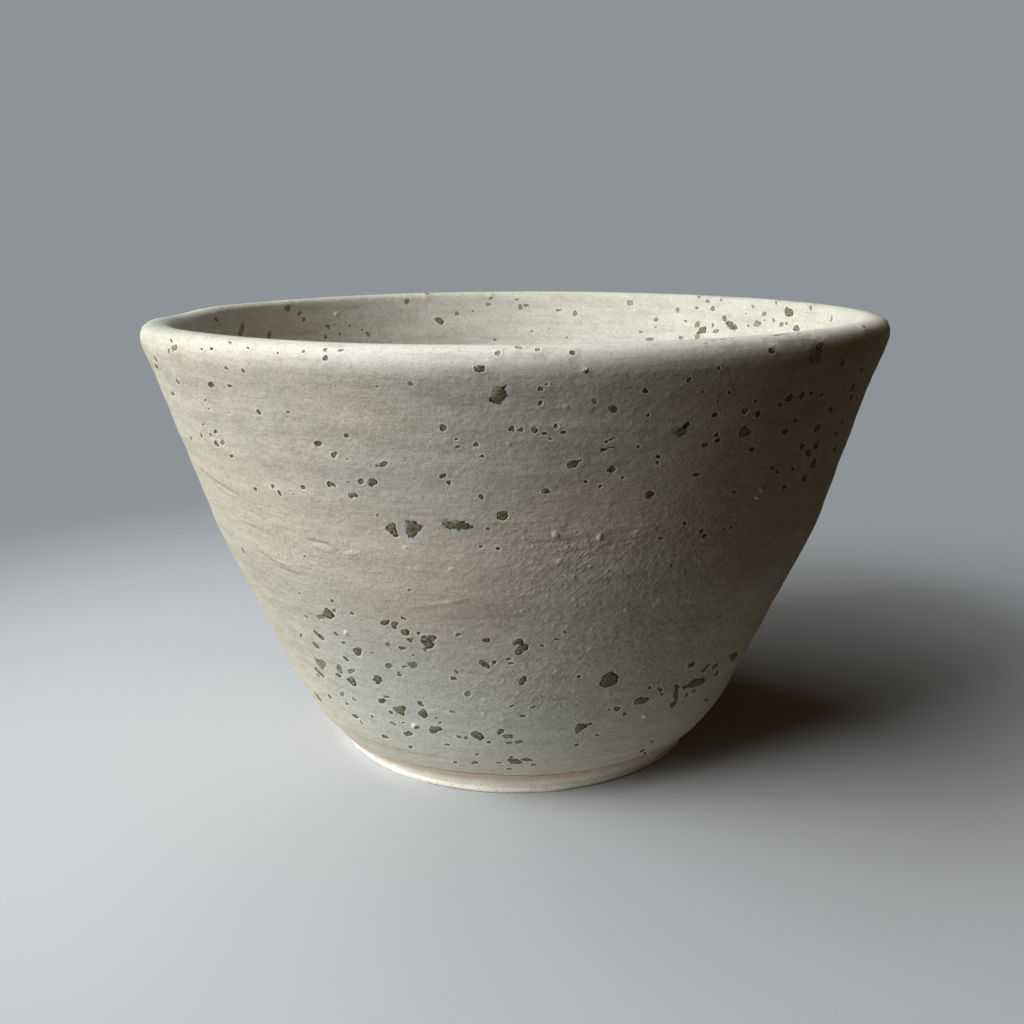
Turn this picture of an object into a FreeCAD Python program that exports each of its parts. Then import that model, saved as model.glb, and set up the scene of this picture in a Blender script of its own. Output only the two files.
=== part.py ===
# Hand-thrown conical stoneware bowl: a fired clay body with a trimmed foot ring, a liner glaze
# and an outer glaze that meet on the crest of the lip, and the large iron grains of the clay
# that melted through the outer glaze.
# Millimetres, +Z up. The origin is the centre of the circle that the foot ring stands on, and
# the front of the bowl faces -Y. Profiles lie in the XZ plane, x being the radius.
import FreeCAD, Part
import math
import os

from FreeCAD import Vector

# Whole bowl
rim_diameter = 150.0
bowl_height = 91.0
foot_diameter = 77.0
foot_side_height = 1.5  # plain upright side of the foot, below the flare

# Outside of the clay wall. A bulge is how far that place stands out of the straight cone
# from foot to lip, and a round is the radius of the curve there.
belly_height = 8.0
belly_bulge = 3.7
belly_round = 45.0
shoulder_below_rim = 42.0  # soft ridge left by the thrower's fingers
shoulder_bulge = 4.1
shoulder_round = 65.0
waist_below_rim = 25.0
waist_bulge = 2.0
waist_round = 60.0

# Lip
lip_thickness = 5.7  # glaze included

shortest_straight = 0.4  # straight left at each end of a wall's side by the rounds

# Inside of the clay wall
shoulder_thickness = 6.0
wall_base_thickness = 7.5
floor_thickness = 6.5
floor_corner_round = 22.0

# Foot ring
foot_ring_width = 6.5
foot_recess_depth = 4.0
foot_edge_round = 0.6
recess_corner_round = 2.0

# Glaze
glaze_thickness = 0.5
glaze_line_height = 6.0  # below this the clay is bare
glaze_edge_round = 0.35

# Large iron grains: bearing from the front in degrees, share of the bowl's height, and length
# round the wall and width up the wall in middling grains
middling_grain = 2.0
grains = (
    (-34, 0.45, 1.2, 0.8), (-23, 0.73, 0.9, 0.9), (-18, 0.20, 1.5, 0.9), (-14, 0.66, 1.2, 1.0),
    (-8, 0.19, 1.3, 1.1), (-8, 0.67, 3.0, 1.0), (-2, 0.91, 1.6, 2.0), (0, 0.12, 2.5, 1.1),
    (14, 0.20, 1.7, 1.1), (18, 0.33, 2.1, 1.7), (21, 0.84, 1.5, 1.2), (43, 0.26, 1.6, 2.3),
)

# Places that follow from the sizes above
lip_round = lip_thickness / 2
clay_lip_round = lip_round - glaze_thickness
lip_centre = Vector(rim_diameter / 2 - lip_round, 0, bowl_height - lip_round)
floor_height = foot_recess_depth + floor_thickness
foot_corner = Vector(foot_diameter / 2, 0, foot_side_height)


def on_wall(height, bulge):
    """Corner of the outer outline, a bulge out of the straight cone from foot to lip."""
    share = (height - foot_corner.z) / (lip_centre.z - foot_corner.z)
    rim_edge = lip_centre.x + clay_lip_round
    return Vector(foot_corner.x + (rim_edge - foot_corner.x) * share + bulge, 0, height)


def touch_lip(point, side):
    """Where a straight line up from the point touches the clay lip, outside (1) or inside (-1)."""
    reach = lip_centre - point
    bearing = math.atan2(reach.z, reach.x)
    half = math.asin(clay_lip_round / reach.Length)
    away = bearing - side * (half + math.pi / 2)
    return lip_centre + Vector(math.cos(away), 0, math.sin(away)) * clay_lip_round


def outer_outline():
    """Corners of the clay's outer face, foot to lip, and the round of each one between."""
    belly = on_wall(belly_height, belly_bulge)
    shoulder = on_wall(bowl_height - shoulder_below_rim, shoulder_bulge)
    waist = on_wall(bowl_height - waist_below_rim, waist_bulge)
    corners = [foot_corner, belly, shoulder, waist, touch_lip(waist, 1)]
    return corners, [belly_round, shoulder_round, waist_round]


def inner_outline():
    """Corners of the clay's inner face, axis to lip, and the round of each one between."""
    belly, shoulder = outer_outline()[0][1:3]
    up = (shoulder - belly).normalize()
    inward = Vector(-up.z, 0, up.x)
    across = shoulder + inward * shoulder_thickness
    floor_side = belly + up * ((floor_height - belly.z) / up.z)
    corner = floor_side - Vector(wall_base_thickness / up.z, 0, 0)
    corners = [Vector(0, 0, floor_height), corner, across, touch_lip(across, -1)]
    return corners, [floor_corner_round, shoulder_round]


def line(start, end):
    return Part.LineSegment(start, end).toShape()


def arc(centre, start, end):
    """Arc about the centre from start to end, the short way round."""
    middle = (start + end) / 2 - centre
    middle = centre + middle * ((start - centre).Length / middle.Length)
    return Part.Arc(start, middle, end).toShape()


def corner_arc(before, corner, after, radius):
    """Ends and centre of the arc that rounds a corner, kept within its shorter side."""
    back = before - corner
    ahead = after - corner
    half = back.getAngle(ahead) / 2
    room = min(back.Length, ahead.Length) - shortest_straight
    setback = min(radius / math.tan(half), room)
    radius = setback * math.tan(half)
    back.normalize()
    ahead.normalize()
    centre = corner + (back + ahead).normalize() * (radius / math.sin(half))
    return corner + back * setback, corner + ahead * setback, centre


def faced(outline, side, coat):
    """Edges of an outline with its corners rounded, under an even coat of this thickness on
    its right-hand (1) or left-hand (-1) side, and on round the lip to the crest."""
    corners, rounds = outline
    shift = side * coat
    ahead = (corners[1] - corners[0]).normalize()
    start = corners[0] + Vector(ahead.z, 0, -ahead.x) * shift
    edges = []
    for i, radius in enumerate(rounds):
        before, corner, after = corners[i:i + 3]
        arc_start, arc_end, centre = corner_arc(before, corner, after, radius)
        turn = (corner - before).cross(after - corner).y
        growth = 1 + math.copysign(shift, -turn * shift) / (arc_start - centre).Length
        arc_start = centre + (arc_start - centre) * growth
        arc_end = centre + (arc_end - centre) * growth
        edges += [line(start, arc_start), arc(centre, arc_start, arc_end)]
        start = arc_end
    touch = lip_centre + (corners[-1] - lip_centre) * (1 + coat / clay_lip_round)
    crest = lip_centre + Vector(0, 0, clay_lip_round + coat)
    return edges + [line(start, touch), arc(lip_centre, touch, crest)]


def turned(edges):
    """Solid turned from a closed profile about the bowl's axis."""
    wire = Part.Wire(Part.__sortEdges__(edges))
    solid = Part.Face(wire).revolve(Vector(0, 0, 0), Vector(0, 0, 1), 360)
    if solid.Volume < 0:
        solid.reverse()
    return solid


def foot_edges():
    """Underside and foot ring, from the axis out to the foot's top corner."""
    ring_inner = foot_corner.x - foot_ring_width
    ceiling = Vector(ring_inner - recess_corner_round, 0, foot_recess_depth)
    ring_top = Vector(ring_inner, 0, foot_recess_depth - recess_corner_round)
    ring_side = Vector(ring_inner, 0, foot_edge_round)
    stand_inner = Vector(ring_inner + foot_edge_round, 0, 0)
    stand_outer = Vector(foot_corner.x - foot_edge_round, 0, 0)
    foot_side = Vector(foot_corner.x, 0, foot_edge_round)
    return [
        line(Vector(0, 0, foot_recess_depth), ceiling),
        arc(Vector(ceiling.x, 0, ring_top.z), ceiling, ring_top),
        line(ring_top, ring_side),
        arc(Vector(stand_inner.x, 0, foot_edge_round), ring_side, stand_inner),
        line(stand_inner, stand_outer),
        arc(Vector(stand_outer.x, 0, foot_edge_round), stand_outer, foot_side),
        line(foot_side, foot_corner),
    ]


def make_clay_body():
    outer = faced(outer_outline(), 1, 0)
    inner = faced(inner_outline(), -1, 0)
    axis = line(Vector(0, 0, foot_recess_depth), Vector(0, 0, floor_height))
    return turned(foot_edges() + outer + inner + [axis])


def make_coat(outline, side):
    """Even coat of glaze over one face of the clay, up to the crest of the lip."""
    under = faced(outline, side, 0)
    over = faced(outline, side, glaze_thickness)
    ends = [line(under[0].firstVertex().Point, over[0].firstVertex().Point),
            line(under[-1].lastVertex().Point, over[-1].lastVertex().Point)]
    return turned(under + over + ends)


def make_outer_glaze():
    """Coat over the outside, wiped off below the glaze line, with a round lower edge."""
    wiped = Part.makeCylinder(rim_diameter, glaze_line_height)
    coat = make_coat(outer_outline(), 1).cut(wiped).Solids[0]
    low = [e for e in coat.Edges if e.BoundBox.ZMax < glaze_line_height + glaze_thickness / 2]
    lower_edge = max(low, key=lambda edge: edge.BoundBox.XLength)
    return coat.makeFillet(glaze_edge_round, [lower_edge])


def grain_cutter(bearing, height_share, length, width):
    """Elliptical plug from the bowl's axis out through the wall."""
    major = middling_grain * max(length, width) / 2
    minor = middling_grain * min(length, width) / 2
    ellipse = Part.Ellipse(Vector(0, 0, 0), major, minor)
    plug = Part.Face(Part.Wire(ellipse.toShape())).extrude(Vector(0, 0, rim_diameter))
    if width > length:
        plug.rotate(Vector(0, 0, 0), Vector(0, 0, 1), 90)
    plug.rotate(Vector(0, 0, 0), Vector(1, 0, 0), 90)
    plug.translate(Vector(0, 0, bowl_height * height_share))
    plug.rotate(Vector(0, 0, 0), Vector(0, 0, 1), bearing)
    return plug


os.makedirs("parts", exist_ok=True)
plain_glaze = make_outer_glaze()
grain_cutters = Part.makeCompound([grain_cutter(*grain) for grain in grains])
nodes = {
    "clay_body": make_clay_body(),
    "liner_glaze": make_coat(inner_outline(), -1),
    "outer_glaze": plain_glaze.cut(grain_cutters),
    "iron_grains": plain_glaze.common(grain_cutters),
}
for name, shape in nodes.items():
    shape.exportStep(os.path.join("parts", name + ".step"))
    print(name, "solids", len(shape.Solids), "valid", shape.isValid(), round(shape.Volume, 1))
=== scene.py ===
"""The looks of a hand-thrown stoneware yarn bowl: matt speckled glaze over a bare trimmed foot.

Lengths are in millimetres until a mesh is made, and then in metres. A place on the pot is given
by s, the distance along its outline from the middle of the floor up the inside, over the lip and
down the outside, and by its bearing, in radians from the front (-Y) towards the right (+X).
"""
import math
from collections import namedtuple

import bpy
import numpy as np
from mathutils import Matrix, Vector
from mathutils.bvhtree import BVHTree
from mathutils.geometry import delaunay_2d_cdt


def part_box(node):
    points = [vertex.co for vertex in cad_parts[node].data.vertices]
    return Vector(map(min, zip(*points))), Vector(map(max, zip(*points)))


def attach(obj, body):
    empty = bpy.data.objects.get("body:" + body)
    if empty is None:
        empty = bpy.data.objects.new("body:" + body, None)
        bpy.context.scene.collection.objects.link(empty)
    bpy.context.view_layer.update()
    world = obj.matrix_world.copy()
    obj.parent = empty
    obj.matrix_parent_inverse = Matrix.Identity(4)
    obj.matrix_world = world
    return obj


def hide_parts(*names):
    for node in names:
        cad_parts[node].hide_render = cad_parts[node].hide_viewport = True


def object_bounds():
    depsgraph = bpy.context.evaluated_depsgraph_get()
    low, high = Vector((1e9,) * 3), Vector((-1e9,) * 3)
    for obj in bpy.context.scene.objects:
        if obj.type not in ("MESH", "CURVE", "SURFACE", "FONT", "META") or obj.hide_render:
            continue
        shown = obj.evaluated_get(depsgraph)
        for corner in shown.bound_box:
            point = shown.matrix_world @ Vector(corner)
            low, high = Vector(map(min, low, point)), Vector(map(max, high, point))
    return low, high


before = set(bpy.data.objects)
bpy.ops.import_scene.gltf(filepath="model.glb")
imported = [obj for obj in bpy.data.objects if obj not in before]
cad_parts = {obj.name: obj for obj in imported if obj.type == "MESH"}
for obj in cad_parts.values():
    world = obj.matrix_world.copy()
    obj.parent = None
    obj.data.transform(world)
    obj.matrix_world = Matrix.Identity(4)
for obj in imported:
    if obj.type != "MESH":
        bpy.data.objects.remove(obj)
cad_low, cad_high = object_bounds()

MM = 0.001
TURN = 2 * math.pi

# ---------------------------------------------------------------- the camera
# The photograph's camera, found from the bowl's own outline.
photo_size = 1024
photo_focal_length = 1129.3
camera_place = Vector((0.0, -239.96, 107.67))
camera_pitch = math.radians(14.113)
camera_yaw = math.radians(-0.155)
camera_roll = math.radians(-0.243)
sensor_width = 36.0


def camera_axes():
    """The camera's right, up and forward directions."""
    level = math.cos(camera_pitch)
    ahead = Vector((math.sin(camera_yaw) * level, math.cos(camera_yaw) * level, -math.sin(camera_pitch)))
    level_right = Vector((math.cos(camera_yaw), -math.sin(camera_yaw), 0.0))
    level_up = level_right.cross(ahead)
    right = level_right * math.cos(camera_roll) + level_up * math.sin(camera_roll)
    up = level_up * math.cos(camera_roll) - level_right * math.sin(camera_roll)
    return right, up, ahead


camera_right, camera_up, camera_ahead = camera_axes()


def add_object(name, data):
    added = bpy.data.objects.new(name, data)
    bpy.context.scene.collection.objects.link(added)
    return added


def make_camera():
    camera = bpy.data.cameras.new("camera")
    camera.sensor_width = sensor_width
    camera.lens = photo_focal_length / photo_size * sensor_width
    camera.clip_start = 0.01
    holder = add_object("camera", camera)
    axes = Matrix((camera_right, camera_up, -camera_ahead)).transposed()
    holder.matrix_world = Matrix.Translation(camera_place * MM) @ axes.to_4x4()
    bpy.context.scene.camera = holder


# ---------------------------------------------------------------- the pot's outline, from the frame
def surface_of(*names):
    """The surface of some CAD nodes, in millimetres, to send rays at."""
    corners = []
    faces = []
    for name in names:
        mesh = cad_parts[name].data
        first = len(corners)
        corners += [v.co / MM for v in mesh.vertices]
        faces += [[first + i for i in polygon.vertices] for polygon in mesh.polygons]
    return BVHTree.FromPolygons(corners, faces)


clay_surface = surface_of("clay_body")
whole_surface = surface_of("clay_body", "liner_glaze", "outer_glaze", "iron_grains")

rim_height = cad_high.z / MM
clay_rim_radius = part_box("clay_body")[1].x / MM
glaze_rim_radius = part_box("outer_glaze")[1].x / MM
crest_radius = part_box("liner_glaze")[1].x / MM
glaze_line_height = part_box("outer_glaze")[0].z / MM
glaze_thickness = glaze_rim_radius - clay_rim_radius
lip_round = glaze_rim_radius - crest_radius
lip_height = rim_height - lip_round

# The rays keep to one upright plane, a little off the line where the CAD surfaces close.
scan_bearing = 0.012
scan_side = Vector((math.sin(scan_bearing), -math.cos(scan_bearing), 0.0))
scan_distance = 20.0
outline_step = 0.2
outline_smoothing = 1.0
# How many rays find each part of the outline.
inside_rays = 500
lip_rays = 60
outside_rays = 800
foot_rays = 60
recess_rays = 200


def scan(starts, aims):
    """Where rays in the upright plane meet the clay, as radius and height."""
    found = []
    for (start_radius, start_height), (outward, upward) in zip(starts, aims):
        start = scan_side * start_radius + Vector((0.0, 0.0, start_height))
        hit = clay_surface.ray_cast(start, scan_side * outward + Vector((0.0, 0.0, upward)))[0]
        if hit is not None:
            found.append((math.hypot(hit.x, hit.y), hit.z))
    return found


def fan(middle, first, last, count, distance=0.0):
    """Rays in a fan about a point of the plane: outwards from it, or inwards from a distance."""
    starts = []
    aims = []
    for angle in np.radians(np.linspace(first, last, count)):
        way = (math.cos(angle), math.sin(angle))
        starts.append((middle[0] + distance * way[0], middle[1] + distance * way[1]))
        aims.append((-way[0], -way[1]) if distance else way)
    return scan(starts, aims)


def clay_outline():
    """The clay from the middle of the floor, over the lip and under the foot, as even steps."""
    foot_radius = scan([(glaze_rim_radius, 1.0)], [(-1.0, 0.0)])[0][0]
    recess_radius = scan([(0.0, 0.5)], [(1.0, 0.0)])[0][0]
    inside = fan((0.0, lip_height), -90.0, 0.0, inside_rays)
    lip = fan((crest_radius, lip_height), 178.0, 2.0, lip_rays, scan_distance)
    heights = np.linspace(lip_height - outline_step, 0.04, outside_rays)
    outside = scan([(glaze_rim_radius + scan_distance, z) for z in heights], [(-1.0, 0.0)] * outside_rays)
    across = np.linspace(foot_radius, recess_radius, foot_rays)[1:-1]
    foot_face = scan([(r, -scan_distance) for r in across], [(0.0, 1.0)] * len(across))
    recess = fan((0.0, 0.0), 2.0, 90.0, recess_rays)
    outline = np.array(inside + lip + outside + foot_face + recess)
    steps = np.hypot(*np.diff(outline, axis=0).T)
    outline = outline[np.concatenate(([True], steps > 1e-4))]
    run = np.concatenate(([0.0], np.cumsum(np.hypot(*np.diff(outline, axis=0).T))))
    even = np.arange(0.0, run[-1], outline_step)
    return even, np.interp(even, run, outline[:, 0]), np.interp(even, run, outline[:, 1])


def smoothed(values, width):
    """Values averaged with their neighbours, as far as a width in steps."""
    reach = int(3 * width)
    window = np.exp(-0.5 * (np.arange(-reach, reach + 1) / width) ** 2)
    before = 2 * values[0] - values[reach:0:-1]
    after = 2 * values[-1] - values[-2:-reach - 2:-1]
    return np.convolve(np.concatenate((before, values, after)), window / window.sum(), mode="valid")


def ramp(value, start, end):
    """0 up to start, 1 past end, and a smooth climb between."""
    share = np.clip((value - start) / (end - start), 0.0, 1.0)
    return share * share * (3.0 - 2.0 * share)


outline_s, outline_r, outline_z = clay_outline()
crest_s = float(outline_s[np.argmax(outline_z)])
past_crest = outline_s > crest_s
glaze_line_s = float(outline_s[past_crest & (outline_z < glaze_line_height)][0])
foot_s = float(outline_s[past_crest & (outline_z < 0.1)][0])

# The facets of the CAD mesh are smoothed away down to the flare of the foot, whose edges stay.
evenness = 1.0 - ramp(outline_s, glaze_line_s - 1.0, glaze_line_s + 1.0)
for curve in (outline_r, outline_z):
    curve += evenness * (smoothed(curve, outline_smoothing / outline_step) - curve)
along_r = smoothed(np.gradient(outline_r, outline_step), 2.0)
along_z = smoothed(np.gradient(outline_z, outline_step), 2.0)
along_r[0], along_z[0] = 1.0, 0.0
outline_nr = -along_z / np.hypot(along_r, along_z)
outline_nz = along_r / np.hypot(along_r, along_z)


def at(s, curve):
    """A curve of the outline, read off at s."""
    return np.interp(s, outline_s, curve)


def radius_at(s, least=1.0):
    return max(float(at(s, outline_r)), least)


# Distance from the middle of a disc onto which the pot is laid out with all its angles kept.
flat_floor = 8.0
disc_growth = np.where(outline_s > flat_floor, 1.0 / np.maximum(outline_r, 1.0), 0.0)
outline_disc = np.minimum(outline_s, flat_floor) * np.exp(np.cumsum(disc_growth) * outline_step)

# ---------------------------------------------------------------- the hand-made shape

# The surface's noises: each one's typical length, how far it is drawn out level, how many waves
# it adds up, and its seed.
noises = {
    "ring wander": (45.0, 1.6, 8, 11),
    "ring patches": (30.0, 2.0, 8, 12),
    "fine wander": (18.0, 3.0, 8, 13),
    "fine patches": (16.0, 3.0, 8, 14),
    "dents": (17.0, 1.8, 14, 15),
    "dimples": (3.6, 1.3, 24, 16),
    "turning": (20.0, 1.0, 6, 21),
    "foot": (7.0, 1.0, 12, 22),
    "foot grain": (1.6, 1.0, 20, 23),
    "chips": (3.2, 1.0, 20, 24),
    "glaze line": (28.0, 1.0, 8, 41),
    "glaze line waver": (5.0, 1.0, 12, 42),
    "grains": (0.9, 1.0, 12, 51),
}


def ripple(points, name):
    """One of the noises over points, of about unit size."""
    length, flatness, count, seed = noises[name]
    random = np.random.default_rng(seed)
    total = np.zeros(len(points))
    for _ in range(count):
        way = random.normal(size=3)
        way /= np.linalg.norm(way)
        wave = way * TURN / (length * random.uniform(0.7, 1.5))
        wave[:2] /= flatness
        total += np.sin(points @ wave + random.uniform(0.0, TURN))
    return total * math.sqrt(2.0 / count)


oval_size = 0.4
oval_bearing = 1.45
swell_size = 0.55
swell_height = 50.0
swell_reach = 20.0
outer_shoulder = 0.1
inner_shoulder = 0.6
wide_lip_bearing = -1.3
wide_lip_reach = 0.45
wide_lip_extra = 1.3
ring_pitch = 7.5
ring_depth = 0.055
fine_ring_pitch = 2.9
fine_ring_depth = 0.022
inside_ring_depth = 0.12
dent_depth = 0.07
dimple_depth = 0.02
foot_turning_pitch = 1.3
foot_turning_depth = 0.03
crease_reach = 0.28
# Creases and ridges left by the fingers and the trimming tool: the bearing and the height where
# each starts and ends, and how far it stands out (or in, below 0).
creases = (
    (-1.3, 10.2, -0.1, 10.2, -0.09), (-1.1, 65.2, -0.78, 61.4, -0.14), (-1.0, 62.4, -0.8, 60.6, -0.08),
    (-0.86, 51.6, -0.66, 48.8, -0.13), (-0.8, 50.4, -0.62, 49.9, 0.09), (-0.8, 49.2, -0.62, 48.5, -0.12),
    (-0.93, 49.0, -0.7, 43.6, 0.11), (-1.0, 46.5, -0.75, 42.0, -0.09), (-0.92, 57.0, -0.68, 55.0, -0.08),
    (-0.6, 56.6, -0.48, 56.0, -0.2), (-0.34, 45.0, -0.1, 48.6, 0.11), (-0.85, 59.6, -0.7, 58.4, -0.07),
    (-0.4, 53.6, -0.17, 53.2, 0.06), (-0.05, 57.9, 0.4, 60.8, -0.07), (0.0, 55.4, 0.5, 60.6, -0.06),
    (-0.25, 43.6, 0.1, 45.0, -0.06), (-0.2, 62.0, 0.2, 63.0, 0.05), (0.1, 50.5, 0.45, 53.5, 0.06),
)


def plain_place(s, bearing):
    r = at(s, outline_r)
    return np.stack([r * np.sin(bearing), -r * np.cos(bearing), at(s, outline_z)], axis=-1)


def thrown_relief(s, bearing, points):
    """How far the wall stands out from its plain outline: throwing rings, dents and dimples."""
    height = points[:, 2]
    outside = ramp(s, crest_s + 3.0, crest_s + 10.0)
    inside = 1.0 - ramp(s, crest_s - 12.0, crest_s - 4.0)
    wander = 1.1 * ripple(points, "ring wander")
    patchy = 0.65 + 0.35 * ripple(points, "ring patches")
    rings = ring_depth * np.sin(TURN * height / ring_pitch + bearing + wander) * patchy
    fine_wander = 1.4 * ripple(points, "fine wander")
    fine_patchy = np.clip(0.4 + 0.6 * ripple(points, "fine patches"), 0.0, 2.0)
    rings += fine_ring_depth * np.sin(TURN * height / fine_ring_pitch + bearing + fine_wander) * fine_patchy
    bowl_rings = inside_ring_depth * np.sin(TURN * s / (ring_pitch * 1.15) - bearing + wander)
    dents = dent_depth * ripple(points, "dents")
    dimples = dimple_depth * ripple(points, "dimples")
    return outside * rings + inside * bowl_rings + (outside + inside) * (dents + dimples)


def foot_relief(s, points):
    """The foot's turning lines, its uneven edge and the chips in it."""
    bare = ramp(s, glaze_line_s - 1.0, glaze_line_s + 1.0)
    under = ramp(s, foot_s - 0.2, foot_s + 0.4)
    turning = foot_turning_depth * np.sin(TURN * s / foot_turning_pitch + 0.8 * ripple(points, "turning"))
    uneven = 0.05 * ripple(points, "foot") + 0.02 * ripple(points, "foot grain")
    chips = -0.22 * np.clip(ripple(points, "chips") - 1.7, 0.0, 1.0)
    return bare * (turning + uneven) * (1.0 - 0.8 * under) + bare * chips


def crease_relief(height, bearing):
    """The creases and ridges, each fading out towards its ends."""
    relief = np.zeros(len(height))
    for first, start, last, end, rise in creases:
        share = (bearing - first) / (last - first)
        level = np.exp(-((height - start - share * (end - start)) / crease_reach) ** 2)
        relief += rise * level * ramp(share, 0.0, 0.35) * (1.0 - ramp(share, 0.65, 1.0))
    return relief


def swell(points, bearing):
    """The wall bellies out a little more on the right, half-way up."""
    level = np.exp(-((points[:, 2] - swell_height) / swell_reach) ** 2)
    return swell_size * level * np.maximum(np.sin(bearing), 0.0) ** 2


def wrapped(bearing):
    """A bearing between half a turn to the left and half a turn to the right."""
    return (bearing + math.pi) % TURN - math.pi


def at_left(side):
    """Where the lip is wider and has painted shade on its top: about the left end of the rim."""
    return np.exp(-((side - wide_lip_bearing) / wide_lip_reach) ** 2)


def lip_shoulders(s, side):
    """The lip is squarer than a round, and thicker inwards at the left."""
    turn = np.clip((s - crest_s) / (lip_round - glaze_thickness), -math.pi / 2, math.pi / 2)
    inwards = ramp(crest_s - s, 1.2, 3.8) * (1.0 - ramp(crest_s - s, 6.0, 18.0))
    shoulders = np.where(turn > 0.0, outer_shoulder, inner_shoulder) * np.sin(2 * turn) ** 2
    return shoulders + wide_lip_extra * at_left(side) * inwards


# The rim isn't level: how far it rises or dips at some bearings.
rim_rises = (
    (-2.8, 0.15), (-2.4, -0.1), (-2.14, -0.3), (-2.02, -0.35), (-1.93, -0.2), (-1.85, -0.3), (-1.75, -0.85),
    (-1.65, -0.98), (-1.5, -0.65), (-1.4, -0.45), (-1.2, -0.4), (-1.05, -0.3), (-0.85, -0.1), (-0.35, -0.1),
    (0.3, 0.15), (0.9, 0.3), (1.7, -0.15), (2.3, 0.0), (2.9, 0.2),
)
rise_bearings = np.linspace(-math.pi, math.pi, 721)
rise_heights = smoothed(np.interp(rise_bearings, *np.array(rim_rises).T, period=TURN), 6.0)


def place(s, bearing, lift):
    """Points of the pot, lifted off the clay along its normal."""
    plain = plain_place(s, bearing)
    side = wrapped(bearing)
    relief = thrown_relief(s, side, plain) + foot_relief(s, plain)
    relief += np.where(s > crest_s, crease_relief(plain[:, 2], side) + swell(plain, side), 0.0)
    offset = lift + relief + lip_shoulders(s, side)
    r = at(s, outline_r) + offset * at(s, outline_nr)
    z = at(s, outline_z) + offset * at(s, outline_nz)
    share = np.clip(z / rim_height, 0.0, 1.0)
    r = r * (1.0 + oval_size / clay_rim_radius * np.cos(2 * (bearing - oval_bearing)) * share)
    z = z + np.interp(side, rise_bearings, rise_heights) * share ** 3
    return np.stack([r * np.sin(bearing), -r * np.cos(bearing), z], axis=-1)


# ---------------------------------------------------------------- iron specks
# A speck lies at s and bearing; long and short are its half-lengths, and its sides are flats
# cut from that oval, each with a direction and how far out it lies.
Speck = namedtuple("Speck", "s bearing long short slant kind sides")

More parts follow.
